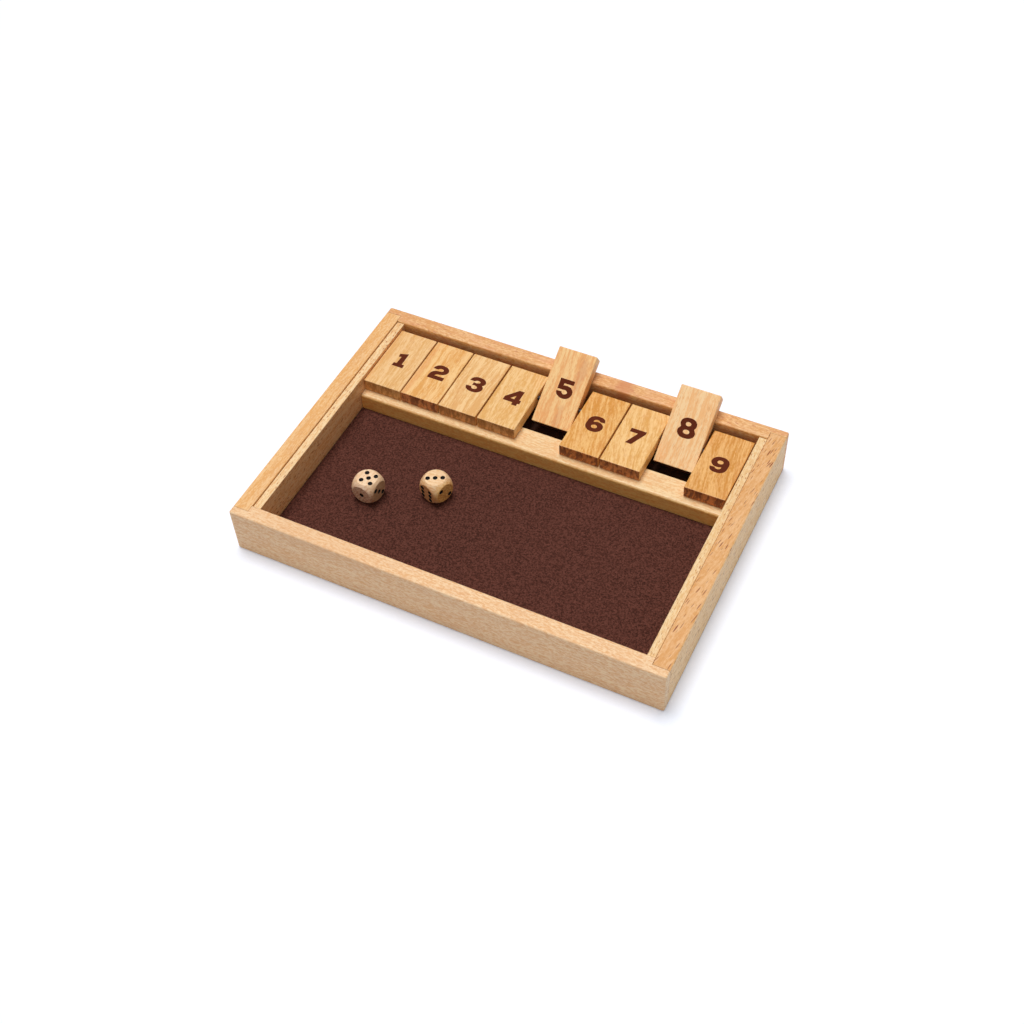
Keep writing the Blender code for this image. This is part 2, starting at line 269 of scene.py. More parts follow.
class Effects:
    """The shader node groups that several finishes share, each built once."""

    def __init__(self) -> None:
        """Builds the groups."""
        self.grain = self._grain()
        self.edges = self._edges()
        self.facing = self._facing()
        self.fibres = self._fibres()
        self.specks = self._specks()

    @staticmethod
    def _grain() -> Tree:
        """Builds wood along X: wandering bands, streaks, rings, fine fibres, mottle and dashes.

        Returns:
            The group.
        """
        lengths = "Wave, Band Length, Band Width, Streak Width, Ring Spacing, Dash Length, Dash Width"
        shares = "Bands, Streaks, Depth, Rings, Fibres, Mottle, Blotches, Dashes"
        tree, graph, takes, gives = new_group(
            "Wood grain",
            {"Vector": "Vector", "Color": "Pale, Dark, Pore, Blush", "Float": f"{lengths}, {shares}"},
            {"Color": "Color", "Float": "Figure, Height, Roughness"},
        )
        here = takes["Vector"]

        def lumps(scale: Triple, shift: float, detail: float = 2.0) -> Socket:
            """Adds a noise with this many lumps a metre along, across and upward."""
            return graph.noise(here, scale, detail, 0.6, shift)

        def centred(level: Socket, size: object) -> Socket:
            """Adds a level's swing about its middle, of this size."""
            return graph.times(graph.minus(level, 0.5), size)

        quick = centred(lumps((75.0, 170.0, 170.0), 3.0, 1.0), 1.6 * MM)
        sway = graph.plus(centred(lumps((13.0, 27.0, 27.0), 0.0), takes["Wave"]), quick)
        lift = centred(lumps((13.0, 27.0, 27.0), 7.0), takes["Wave"])
        bent = graph.vector("ADD", here, graph.join(0.0, sway, lift))

        def figure(
            length: object, width: object, depth: object, shift: float, detail: float
        ) -> Socket:
            """Adds a noise in lumps of this length, width and depth, along the bent fibres."""
            scale = graph.join(*(graph.math("DIVIDE", 1.0, size) for size in (length, width, depth)))
            return graph.noise(bent, scale, detail, 0.6, shift)

        def deep(width: Socket) -> Socket:
            """Adds the depth that goes with a width."""
            return graph.times(width, takes["Depth"])

        bands = figure(
            takes["Band Length"], takes["Band Width"], deep(takes["Band Width"]), 0.0, 1.5
        )
        short = graph.times(takes["Band Length"], 0.35)
        streaks = figure(short, takes["Streak Width"], deep(takes["Streak Width"]), 5.3, 3.0)
        fibres = figure(4.2 * MM, 0.9 * MM, 0.9 * MM, 3.1, 2.5)
        mottle = lumps((520.0, 900.0, 900.0), 2.0, 2.0)

        _, across, upward = graph.split(bent)
        square = graph.times(across, across)
        square = graph.plus(square, graph.times(upward, upward))
        ring = graph.math("DIVIDE", graph.math("SQRT", square), takes["Ring Spacing"])
        ring = graph.math("FRACT", ring)
        ring = graph.times(graph.step(ring, 0.1, 0.86), graph.step(ring, 1.0, 0.9))

        def stack(base: object, *layers: tuple[object, float, float, object]) -> object:
            """Adds the swings of several levels, each stepped and weighed, to a base."""
            for level, low, high, share in layers:
                base = graph.plus(centred(graph.step(level, low, high), share), base)
            return base

        broad = stack(
            0.5, (bands, 0.34, 0.66, takes["Bands"]), (streaks, 0.38, 0.62, takes["Streaks"]),
            (ring, 0.0, 1.0, takes["Rings"]),
        )
        shade = stack(
            broad, (fibres, 0.40, 0.60, takes["Fibres"]), (mottle, 0.42, 0.58, takes["Mottle"])
        )
        shade = graph.math("ADD", shade, 0.0, clamp=True)
        graph.feed(gives["Figure"], graph.step(broad, 0.15, 0.85))
        colour = graph.mix(shade, takes["Pale"], takes["Dark"])

        blotch = graph.step(lumps((60.0, 190.0, 190.0), 4.0, 3.0), 0.42, 0.72)
        colour = graph.mix(graph.times(blotch, takes["Blotches"]), colour, takes["Blush"])

        sizes = (takes["Dash Length"], takes["Dash Width"], takes["Dash Width"])
        cell = graph.join(*(graph.math("DIVIDE", 0.56, size) for size in sizes))
        spread = {"Vector": graph.vector("MULTIPLY", bent, cell), "Scale": 1.0}
        cells = graph.add("ShaderNodeTexVoronoi", spread).outputs
        luck, force, _ = graph.split(cells["Color"])
        size = graph.step(force, 0.0, 1.0, 0.20, 0.42)
        dash = graph.step(cells["Distance"], graph.times(size, 0.6), size, 1.0, 0.0)
        crowd = graph.step(lumps((42.0, 130.0, 130.0), 2.0, 1.0), 0.32, 0.56, 0.35, 1.0)
        dash = graph.times(dash, graph.step(luck, 0.15, 0.55))
        dash = graph.times(graph.times(dash, crowd), takes["Dashes"])
        graph.feed(gives["Color"], graph.mix(dash, colour, takes["Pore"]))
        graph.feed(gives["Height"], graph.minus(graph.times(fibres, -0.6), dash))
        gloss = graph.plus(graph.times(fibres, 0.22), 0.38)
        dull = graph.plus(graph.times(dash, 0.25), gloss)
        graph.feed(gives["Roughness"], dull)
        return tree

    @staticmethod
    def _edges() -> Tree:
        """Builds a mask that is one on the edges of a box about the origin, broken up by noise, for
        painted highlight on rounded edges.

        Returns:
            The group.
        """
        tree, graph, takes, gives = new_group(
            "Painted edge highlight", {"Vector": "Vector, Half Size", "Float": "Width"}, {"Float": "Mask"}
        )
        inset = graph.vector(
            "SUBTRACT", takes["Half Size"], graph.vector("ABSOLUTE", takes["Vector"])
        )
        one, two, three = graph.split(inset)
        most = graph.math("MINIMUM", graph.math("MAXIMUM", one, two), three)
        middle = graph.math("MAXIMUM", graph.math("MINIMUM", one, two), most)
        rough = graph.noise(takes["Vector"], (420.0,) * 3, 3.0)
        swing = graph.times(takes["Width"], 1.1)
        offset = graph.times(graph.minus(rough, 0.5), swing)
        inside = graph.plus(middle, offset)
        graph.feed(gives["Mask"], graph.step(inside, 0.0, takes["Width"], 1.0, 0.0))
        return tree

    @staticmethod
    def _facing() -> Tree:
        """Builds masks of where a surface faces a direction, and where it faces it or its opposite.

        Returns:
            The group.
        """
        tree, graph, takes, gives = new_group(
            "Facing", {"Vector": "Direction"}, {"Float": "Toward, Either"}
        )
        normal = graph.add("ShaderNodeTexCoord").outputs["Normal"]
        facing = graph.vector("DOT_PRODUCT", normal, takes["Direction"])
        graph.feed(gives["Toward"], graph.step(facing, 0.50, 0.94))
        graph.feed(gives["Either"], graph.step(graph.math("ABSOLUTE", facing), 0.50, 0.94))
        return tree

    @staticmethod
    def _fibres() -> Tree:
        """Builds pressed fibres: thin curling lines in several layers over mottled wool.

        Returns:
            The group.
        """
        tree, graph, takes, gives = new_group(
            "Felt fibres", {"Vector": "Vector", "Color": "Ground, Shade, Fibre"},
            {"Color": "Color", "Float": "Height"},
        )
        where = takes["Vector"]
        lines = 0.0
        layers = (((700.0, 1150.0, 900.0), 2.2), ((1200.0, 760.0, 900.0), 2.8), ((1400.0,) * 3, 1.6))
        for scale, twist in layers:
            level = graph.noise(where, scale, 1.0, 0.5, twist, twist)
            ridge = graph.math("ABSOLUTE", graph.minus(level, 0.5))
            line = graph.step(ridge, 0.02, 0.09, 1.0, 0.0)
            lines = graph.math("MAXIMUM", lines, line)
        thin_out = graph.noise(where, (900.0,) * 3, 1.0, 0.6)
        lines = graph.times(lines, graph.step(thin_out, 0.36, 0.62, 0.35, 1.0))
        mottle = graph.noise(where, (1050.0,) * 3, 1.0, 0.7)
        cloud = graph.noise(where, (38.0,) * 3, 3.0)
        shade = graph.times(graph.step(mottle, 0.42, 0.58), 0.9)
        shade = graph.math("ADD", shade, graph.step(cloud, 0.35, 0.65, 0.0, 0.25), clamp=True)
        ground = graph.mix(shade, takes["Ground"], takes["Shade"])
        graph.feed(gives["Color"], graph.mix(graph.times(lines, 0.75), ground, takes["Fibre"]))
        graph.feed(gives["Height"], graph.plus(lines, mottle))
        return tree

    @staticmethod
    def _specks() -> Tree:
        """Builds a mask of small scattered specks.

        Returns:
            The group.
        """
        tree, graph, takes, gives = new_group(
            "Specks", {"Vector": "Vector", "Float": "Size"}, {"Float": "Mask"}
        )
        scale = graph.math("DIVIDE", 1.0, takes["Size"])
        level = graph.noise(takes["Vector"], graph.join(scale, scale, scale), 1.0)
        graph.feed(gives["Mask"], graph.step(level, 0.60, 0.70))
        return tree


@dataclass(frozen=True)
class Spot:
    """A soft ragged place on a board, measured from the board's middle."""

    place: Triple
    reach: Triple
    share: float = 1.0

    def mask(self, graph: Graph, local: Socket) -> Socket:
        """Adds a mask of the place.

        Args:
            graph: The material's graph.
            local: Places measured from the board's middle.

        Returns:
            The spot's share at its middle, nought outside it.
        """
        away = graph.vector("DIVIDE", graph.vector("SUBTRACT", local, self.place), self.reach)
        length = graph.add("ShaderNodeVectorMath", {0: away}, operation="LENGTH")
        ragged = graph.noise(local, (240.0,) * 3)
        distance = graph.plus(length.outputs["Value"], graph.minus(ragged, 0.5))
        return graph.step(distance, 0.35, 1.0, self.share, 0.0)


@dataclass(frozen=True)
class Stain:
    """A spot where the wood is tinted."""

    spot: Spot
    colour: Colour


@dataclass(frozen=True)
class PaintedSideLight:
    """Painted light and shade on one side of a board: a factor on the colour of what faces there,
    standing in for how light falls on that side.
    """

    direction: Triple
    factor: Triple


@dataclass(frozen=True)
class WoodFinish:
    """Satin lacquered wood of one board: its colours, how wide and strong each figure is, and painted
    light and shade on some sides and edges.
    """

    name: str
    pale: Colour
    dark: Colour
    pore: Colour
    grain: Grain
    heart: Triple
    blush: Colour = (0.75, 0.43, 0.24, 1.0)
    runout: float = 0.0
    wave: float = 10.0 * MM
    band_length: float = 0.10
    band_width: float = 5.0 * MM
    bands: float = 0.45
    streak_width: float = 1.2 * MM
    streaks: float = 0.40
    depth: float = 1.0
    ring_spacing: float = 3.2 * MM
    rings: float = 0.15
    fibres: float = 0.65
    mottle: float = 0.55
    blotches: float = 0.15
    dash_length: float = 3.2 * MM
    dash_width: float = 0.5 * MM
    dashes: float = 0.35
    dash_spots: tuple[Spot, ...] = ()
    end_pale: Colour = (0.95, 0.88, 0.80, 1.0)
    end_dark: Colour = (0.74, 0.60, 0.50, 1.0)
    stains: tuple[Stain, ...] = ()
    # Painted light and shade on the sides that face given directions
    painted_side_light: tuple[PaintedSideLight, ...] = ()
    # Width of the painted highlight along the edges
    highlight_width: float = 0.8 * MM

    def material(
        self, effects: Effects, centre: Iterable[float], half: Iterable[float], tilt: float = 0.0,
        edge_highlight: float = 0.35,
    ) -> Material:
        """Builds the finish for one board.

        Args:
            effects: The shared node groups.
            centre: The board's middle.
            half: Half its length, width and height.
            tilt: How far the board is turned about X, in radians.
            edge_highlight: How strongly painted highlight lightens its edges.

        Returns:
            The material.
        """
        surface = Surface(self.name)
        local = surface.vector("SUBTRACT", surface.place, tuple(centre))
        if tilt:
            turned = {"Vector": local, "Angle": -tilt}
            rotate = surface.add("ShaderNodeVectorRotate", turned, rotation_type="X_AXIS")
            local = rotate.outputs[0]
        wood = self._figure(surface, effects, local)
        colour = wood["Color"]
        for stain in self.stains:
            colour = surface.mix(stain.spot.mask(surface, local), colour, stain.colour)
        # Painted highlight: the edges are lightened toward the pale colour, as their rounding
        # catching the light would show them
        edges = {"Vector": local, "Half Size": tuple(half), "Width": self.highlight_width}
        edge_highlight_mask = surface.group(effects.edges, edges)["Mask"]
        colour = surface.mix(surface.times(edge_highlight_mask, edge_highlight), colour, self.pale)
        axis = Matrix.Rotation(tilt, 3, "X") @ self.grain.direction
        ends = surface.group(effects.facing, {"Direction": tuple(axis)})["Either"]
        end_tone = surface.mix(wood["Figure"], self.end_pale, self.end_dark)
        colour = surface.mix(ends, colour, surface.mix(1.0, colour, end_tone, "MULTIPLY"))
        # Painted light and shade: each listed side's colour is scaled as the light falling there
        # would light it
        for side_light in self.painted_side_light:
            side = surface.group(effects.facing, {"Direction": side_light.direction})["Toward"]
            side_lit = surface.mix(1.0, colour, (*side_light.factor, 1.0), "MULTIPLY")
            colour = surface.mix(side, colour, side_lit)
        surface.finish(
            {"Base Color": colour, "Roughness": wood["Roughness"], "Specular IOR Level": 0.5}
        )
        surface.bump(wood["Height"], 0.35, 0.12 * MM)
        return surface.made

    def _figure(self, graph: Graph, effects: Effects, local: Socket) -> Sequence:
        """Places the grain group with this board's values.

        Args:
            graph: The material's graph.
            effects: The shared node groups.
            local: Places measured from the board's middle.

        Returns:
            The group's outputs.
        """
        turn = (0.0, 0.0, self.grain.value + self.runout)
        mapped = {"Vector": local, "Location": self.heart, "Rotation": turn}
        dashes = self.dashes
        for spot in self.dash_spots:
            dashes = graph.math("MAXIMUM", dashes, spot.mask(graph, local))
        feeds = {"Vector": graph.add("ShaderNodeMapping", mapped).outputs[0], "Dashes": dashes}
        # The group's other inputs have the names of this finish's fields
        for socket in effects.grain.interface.items_tree:
            if socket.in_out == "INPUT" and socket.name not in feeds:
                feeds[socket.name] = getattr(self, socket.name.lower().replace(" ", "_"))
        return graph.group(effects.grain, feeds)


@dataclass(frozen=True)
class BoardFinish:
    """Hardboard: black-stained above, plain pressed brown fibre below and at its edges."""

    stained: Colour
    plain: Colour
    fleck: Colour

    def material(self, effects: Effects) -> Material:
        """Builds the finish.

        Args:
            effects: The shared node groups.

        Returns:
            The material.
        """
        surface = Surface("hardboard")
        where = surface.vector("MULTIPLY", surface.place, (0.55, 0.55, 0.55))
        feeds = {"Vector": where, "Ground": self.plain, "Shade": self.fleck, "Fibre": self.plain}
        fibres = surface.group(effects.fibres, feeds)
        top = surface.step(surface.split(surface.normal)[2], 0.4, 0.8)
        black = surface.mix(0.12, self.stained, fibres["Color"])
        colour = surface.mix(top, fibres["Color"], black)
        surface.finish({"Base Color": colour, "Roughness": 0.72, "Specular IOR Level": 0.15})
        surface.bump(fibres["Height"], 0.4, 0.1 * MM)
        return surface.made


@dataclass(frozen=True)
class FeltFinish:
    """Pressed felt of one colour family."""

    ground: Colour
    shade: Colour
    fibre: Colour

    def material(self, effects: Effects) -> Material:
        """Builds the finish.

        Args:
            effects: The shared node groups.

        Returns:
            The material.
        """
        surface = Surface("brown_felt")
        colours = {"Ground": self.ground, "Shade": self.shade, "Fibre": self.fibre}
        fibres = surface.group(effects.fibres, {"Vector": surface.place} | colours)
        surface.finish(
            {
                "Base Color": fibres["Color"], "Roughness": 0.95, "Specular IOR Level": 0.05,
                "Sheen Weight": 0.04, "Sheen Roughness": 0.5, "Sheen Tint": self.fibre,
            }
        )
        surface.bump(fibres["Height"], 0.6, 0.25 * MM)
        return surface.made


@dataclass(frozen=True)
class SteelFinish:
    """Drawn steel rod with fine lines along X."""

    bright: Colour
    dull: Colour

    def material(self) -> Material:
        """Builds the finish."""
        surface = Surface("drawn_steel")
        lines = surface.noise(surface.place, (60.0, 5200.0, 5200.0), 3.0, 0.7)
        spots = surface.noise(surface.place, (700.0, 900.0, 900.0), 3.0)
        shade = surface.times(surface.step(spots, 0.45, 0.75), 0.7)
        colour = surface.mix(shade, self.bright, self.dull)
        rough = surface.step(lines, 0.3, 0.7, 0.42, 0.60)
        surface.finish({"Base Color": colour, "Metallic": 1.0, "Roughness": rough})
        surface.bump(lines, 0.2, 0.02 * MM)
        return surface.made


@dataclass(frozen=True)
class PaintFinish:
    """Ink or paint that lies thinly on wood, so that the grain shows a little."""

    name: str
    full: Colour
    thin: Colour
    roughness: float
    shine: float
    thin_share: float

    def material(self, effects: Effects) -> Material:
        """Builds the finish.

        Args:
            effects: The shared node groups.

        Returns:
            The material.
        """
        surface = Surface(self.name)
        fine = surface.noise(surface.place, (1500.0, 260.0, 1500.0), 3.0, 0.6)
        specks = surface.group(effects.specks, {"Vector": surface.place, "Size": 0.35 * MM})["Mask"]
        thin = surface.math("MAXIMUM", surface.step(fine, 0.42, 0.72), specks)
        thin = surface.times(thin, self.thin_share)
        colour = surface.mix(thin, self.full, self.thin)
        surface.finish(
            {"Base Color": colour, "Roughness": self.roughness, "Specular IOR Level": self.shine}
        )
        surface.bump(fine, 0.25, 0.05 * MM)
        return surface.made


def clear_selection() -> None:
    """Leaves object mode with nothing selected."""
    if bpy.context.mode != "OBJECT":
        bpy.ops.object.mode_set(mode="OBJECT")
    bpy.ops.object.select_all(action="DESELECT")


def only(piece: Piece) -> None:
    """Makes a piece the only selected and the active one."""
    clear_selection()
    piece.select_set(True)
    bpy.context.view_layer.objects.active = piece


def settle(piece: Piece) -> None:
    """Puts a piece's place, turn and size into its mesh."""
    only(piece)
    bpy.ops.object.transform_apply(location=True, rotation=True, scale=True)


def apply_modifier(piece: Piece, kind: str, **settings: object) -> None:
    """Adds a modifier to a piece and applies it.

    Args:
        piece: The piece.
        kind: The modifier's type name.
        **settings: The modifier's properties.
    """
    only(piece)
    modifier = piece.modifiers.new(kind.lower(), kind)
    for name, value in settings.items():
        setattr(modifier, name, value)
    bpy.ops.object.modifier_apply(modifier=modifier.name)


def dress_node(node: str, material: Material) -> None:
    """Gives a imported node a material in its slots."""
    mesh = frame["nodes"][node].data
    if not mesh.materials:
        mesh.materials.append(material)
    for index in range(len(mesh.materials)):
        mesh.materials[index] = material
    log.info("dressed %s with %s", node, material.name)


def box_of(node: str) -> tuple[Vector, Vector]:
    """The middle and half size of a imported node's box."""
    low, high = (Vector(corner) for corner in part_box(node))
    return (low + high) / 2, (high - low) / 2


@dataclass
class Tray:
    """The rails, liners, ledge, base board and pivot rod."""

    effects: Effects
    boards: dict[str, WoodFinish]
    base: BoardFinish
    steel: SteelFinish

    def dress(self) -> None:
        """Gives every fixed wooden and steel node its finish."""
        for node, finish in self.boards.items():
            centre, half = box_of(node)
            dress_node(node, finish.material(self.effects, centre, half))
        dress_node("base_board", self.base.material(self.effects))
        dress_node("pivot_rod", self.steel.material())


@dataclass
class PlayingFelt:
    """The sheet of felt glued to the base board."""

    effects: Effects
    finish: FeltFinish
    edge_round: float = 0.35 * MM
    nap: float = 0.09 * MM
    columns: int = 248
    rows: int = 116

    def build(self) -> Piece:
        """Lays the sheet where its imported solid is.

        Returns:
            The sheet.
        """
        centre, half = box_of("playing_felt")
        clear_selection()
        bpy.ops.mesh.primitive_grid_add(
            x_subdivisions=self.columns, y_subdivisions=self.rows, size=2, location=(0, 0, 0)
        )
        sheet = bpy.context.active_object
        sheet.name = "felt_sheet"
        sheet.scale = (half.x, half.y, 1)
        sheet.location = (centre.x, centre.y, centre.z + half.z)
        settle(sheet)
        wool = bpy.data.textures.new("wool", "CLOUDS")
        wool.noise_scale = 1.1 * MM
        wool.noise_depth = 3
        apply_modifier(
            sheet, "DISPLACE", texture=wool, strength=self.nap, mid_level=1.0, direction="Z"
        )
        apply_modifier(sheet, "SOLIDIFY", thickness=2 * half.z - self.nap, offset=-1)
        apply_modifier(sheet, "BEVEL", width=self.edge_round, segments=2, limit_method="ANGLE")
        only(sheet)
        bpy.ops.object.shade_smooth_by_angle(angle=math.radians(50))
        return sheet

    def dress(self, sheet: Piece) -> None:
        sheet.data.materials.append(self.finish.material(self.effects))
        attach(sheet, "tray")
        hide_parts("playing_felt")
        log.info("laid %s", sheet.name)


def corners(*points: tuple[float, float]) -> Outline:
    """A stretch of an outline that turns sharply at each point."""
    return tuple((x, y, Corner.SHARP) for x, y in points)


def bends(*points: tuple[float, float]) -> Outline:
    """A stretch of an outline that runs smoothly through each point."""
    return tuple((x, y, Corner.ROUND) for x, y in points)


# Outlines of the numbers, in millimetres to the right of the middle of the baseline and above it.
# A number is about 12.6 high. The 9 is the 6 turned half round.
NUMBER_HEIGHT = 12.6
NUMBERS: dict[int, tuple[Outline, ...]] = {
    1: (
        corners(
            (1.7, 12.8), (1.8, 2.9), (3.5, 2.7), (3.6, 0.0), (-3.7, 0.0), (-3.6, 2.7),
            (-1.7, 2.9), (-1.5, 8.9), (-3.2, 8.4), (-3.5, 11.1), (-0.8, 11.9)
        ),
    ),
    2: (
        bends((0.6, 12.9), (4.3, 11.7), (5.8, 8.9), (4.7, 6.1), (2.1, 4.9), (-0.3, 4.3))
        + corners((-1.3, 3.1), (5.7, 3.1), (5.7, 0.0), (-4.9, 0.0))
        + bends(
            (-4.8, 3.4), (-4.0, 5.6), (-2.0, 7.0), (0.7, 7.5), (2.1, 8.1), (2.3, 9.2), (0.8, 9.9),
            (-0.7, 9.4)
        )
        + corners((-1.4, 8.6), (-4.6, 8.7))
        + bends((-3.9, 10.9), (-2.0, 12.5)),
    ),
    3: (
        bends((0.4, 12.9), (3.9, 12.0), (5.6, 9.3), (5.1, 7.5))
        + corners((4.2, 6.7))
        + bends((5.4, 5.5), (5.8, 3.4), (4.0, 0.7), (0.4, -0.2), (-3.3, 0.7), (-4.8, 2.3))
        + corners((-5.1, 4.0), (-1.9, 4.1))
        + bends((-0.9, 2.8), (0.8, 2.5), (2.1, 3.9), (0.9, 5.2))
        + corners((-1.8, 5.3), (-1.8, 7.8))
        + bends((0.9, 7.8), (2.1, 8.9), (0.6, 9.9), (-0.8, 9.6))
        + corners((-1.6, 8.8), (-4.9, 8.8))
        + bends((-4.1, 11.2), (-2.1, 12.6)),
    ),
    4: (
        corners(
            (4.3, 12.6), (4.3, 4.9), (5.6, 4.8), (5.6, 2.0), (4.3, 2.0), (4.3, 0.0), (1.0, 0.0),
            (1.0, 2.0), (-5.6, 2.0), (-5.6, 5.1), (1.0, 12.6)
        ),
        corners((1.0, 7.9), (-1.8, 4.8), (1.0, 4.8)),
    ),
    5: (
        corners((4.7, 12.3), (4.7, 9.5), (-1.5, 9.5), (-1.5, 8.0))
        + bends(
            (0.8, 8.3), (4.2, 7.2), (5.6, 4.2), (4.0, 0.9), (0.8, -0.2), (-3.0, 0.8), (-4.5, 2.3)
        )
        + corners((-4.9, 3.9), (-1.6, 4.1))
        + bends((-0.7, 2.9), (0.7, 2.6), (2.2, 3.9), (0.9, 5.3))
        + corners((-0.8, 5.3), (-4.8, 5.3), (-4.8, 12.3)),
    ),
    6: (
        bends(
            (0.4, 12.9), (-2.8, 12.4), (-4.9, 10.4), (-5.6, 6.7), (-5.1, 2.4), (-2.8, 0.2),
            (0.4, -0.3), (3.7, 0.8), (5.5, 4.3), (4.0, 7.4), (0.9, 8.4)
        )
        + corners((-1.8, 7.6))
        + bends((-1.7, 9.0), (-0.3, 10.0), (1.2, 9.7))
        + corners((2.2, 8.9), (5.1, 9.0))
        + bends((4.3, 11.4), (2.6, 12.6)), bends((0.0, 5.6), (-1.85, 4.1), (0.0, 2.6), (1.85, 4.1)),
    ),
    7: (
        corners(
            (4.9, 12.5), (4.8, 10.4), (-0.3, 0.0), (-4.3, 0.0), (0.2, 9.4), (-5.1, 9.4),
            (-5.1, 12.5)
        ),
    ),
    8: (
        bends((-0.1, 12.7), (-3.9, 11.6), (-5.3, 9.1))
        + corners((-4.3, 6.5))
        + bends((-5.6, 3.6), (-4.0, 0.8), (0.0, -0.2), (4.1, 0.8), (5.7, 3.6))
        + corners((4.3, 6.4))
        + bends((5.1, 9.0), (3.8, 11.6)), bends((-0.2, 10.1), (-1.9, 8.8), (-0.2, 7.5), (1.5, 8.8)),
        bends((0.0, 5.2), (-2.0, 3.8), (0.0, 2.5), (2.0, 3.8)),
    ),
}
NUMBERS[9] = tuple(
    tuple((-x, NUMBER_HEIGHT - y, corner) for x, y, corner in outline) for outline in NUMBERS[6]
)


@dataclass(frozen=True)
class Print:
    """How one number was printed: how far off its usual place, and how much wider and higher."""

    right: float = 0.0
    up: float = 0.0
    wide: float = 1.02
    high: float = 1.01


PRINTS: dict[int, Print] = {
    1: Print(0.50 * MM, -0.05 * MM, 1.08, 1.03), 2: Print(0.60 * MM, -0.20 * MM, 1.05, 1.01),
    3: Print(0.38 * MM, -0.25 * MM, 1.05, 1.02), 4: Print(0.50 * MM, -0.35 * MM, 1.03, 1.04),
    5: Print(0.38 * MM, -0.15 * MM), 6: Print(0.10 * MM, -0.40 * MM),
    7: Print(-0.20 * MM, -0.50 * MM, 1.02, 1.03), 8: Print(0.10 * MM, -0.28 * MM),
    9: Print(-0.20 * MM, -0.60 * MM, 1.01, 0.99),
}


@dataclass
class TileRow:
    """The nine tiles on the rod, with a number printed on both faces of each."""

    effects: Effects
    finishes: dict[int, WoodFinish]
    ink: PaintFinish
    prints: dict[int, Print]
    tipped: tuple[int, ...] = (5, 8)
    tip: float = math.radians(-148.2519)
    length: float = 51.0 * MM
    width: float = 26.25 * MM
    thickness: float = 8.25 * MM
    tail: float = 15.7 * MM
    number_place: float = 19.45 * MM
    ink_lift: float = 0.01 * MM
    ink_depth: float = 0.05 * MM

    def pose(self, number: int) -> Matrix:
        """Where a tile's own space stands: X along the rod, Y towards the tail, Z up when flat."""
        joint = next(j for j in frame["joints"] if j["child"] == f"tile_{number}")
        turn = self.tip if number in self.tipped else 0.0
        return Matrix.Translation(joint["pos_m"]) @ Matrix.Rotation(turn, 4, "X")

    def face(self, number: int, under: bool) -> Matrix:
        """Where the middle of a number's baseline stands on one face of a tile.

        Args:
            number: The tile's number.
            under: True for the face that lies down when the tile is flat.

        Returns:
            The matrix that takes an outline onto the face.
        """
        printed = self.prints[number]
        up = self.number_place + printed.up
        if under:
            place = (printed.right, self.tail - up, -self.thickness / 2 - self.ink_lift)
            turn = Matrix.Rotation(math.pi, 4, "X")
        else:
            near = self.tail - self.length
            place = (printed.right, near + up, self.thickness / 2 + self.ink_lift)
            turn = Matrix.Identity(4)
        return self.pose(number) @ Matrix.Translation(place) @ turn

    def build(self) -> list[tuple[int, Piece]]:
        """Prints all the numbers.

        Returns:
            Each number with its printed piece.
        """
        made = []
        for number in range(1, 10):
            for label, under in (("top", False), ("under", True)):
                piece = self._print(number, f"number_{number}_{label}")
                piece.matrix_world = self.face(number, under)
                settle(piece)
                made.append((number, piece))
        return made

    def _print(self, number: int, name: str) -> Piece:
        """Makes one number as a thin closed mesh about its baseline.

        Args:
            number: Which number.
            name: The piece's name.

        Returns:
            The piece, not yet placed.
        """
        printed = self.prints[number]
        curve = bpy.data.curves.new(name, "CURVE")
        curve.dimensions = "2D"
        curve.fill_mode = "BOTH"
        curve.extrude = self.ink_depth / 2
        curve.resolution_u = 8
        for outline in NUMBERS[number]:
            spline = curve.splines.new("BEZIER")
            spline.bezier_points.add(len(outline) - 1)
            spline.use_cyclic_u = True
            for point, (x, y, corner) in zip(spline.bezier_points, outline):
                point.co = (x * printed.wide * MM, y * printed.high * MM, 0)
                point.handle_left_type = corner.value
                point.handle_right_type = corner.value
        holder = bpy.data.objects.new(name, curve)
        bpy.context.scene.collection.objects.link(holder)
        only(holder)
        bpy.ops.object.convert(target="MESH")
        piece = bpy.context.active_object
        bpy.ops.object.mode_set(mode="EDIT")
        bpy.ops.mesh.select_all(action="SELECT")
        bpy.ops.mesh.remove_doubles(threshold=0.002 * MM)
        bpy.ops.mesh.normals_make_consistent(inside=False)
        bpy.ops.object.mode_set(mode="OBJECT")
        return piece

    def dress(self, printed: list[tuple[int, Piece]]) -> None:
        """Gives the tiles their wood and the numbers their ink."""
        ink = self.ink.material(self.effects)
        for number, finish in self.finishes.items():
            middle = Vector((0, self.tail - self.length / 2, 0))
            tilt = self.tip if number in self.tipped else 0.0
            half = (self.width / 2, self.length / 2, self.thickness / 2)
            centre = self.pose(number) @ middle
            dress_node(f"tile_{number}", finish.material(self.effects, centre, half, tilt))
        for number, piece in printed:
            piece.data.materials.clear()
            piece.data.materials.append(ink)
            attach(piece, f"tile_{number}")
            log.info("printed %s", piece.name)


# Each face's outward direction with the directions to its right and up as seen from outside
FACE_AXES: dict[str, tuple[Triple, Triple, Triple]] = {
    "+X": ((1, 0, 0), (0, 1, 0), (0, 0, 1)), "-X": ((-1, 0, 0), (0, -1, 0), (0, 0, 1)),
    "+Y": ((0, 1, 0), (-1, 0, 0), (0, 0, 1)), "-Y": ((0, -1, 0), (1, 0, 0), (0, 0, 1)),
    "+Z": ((0, 0, 1), (1, 0, 0), (0, 1, 0)), "-Z": ((0, 0, -1), (1, 0, 0), (0, -1, 0)),
}
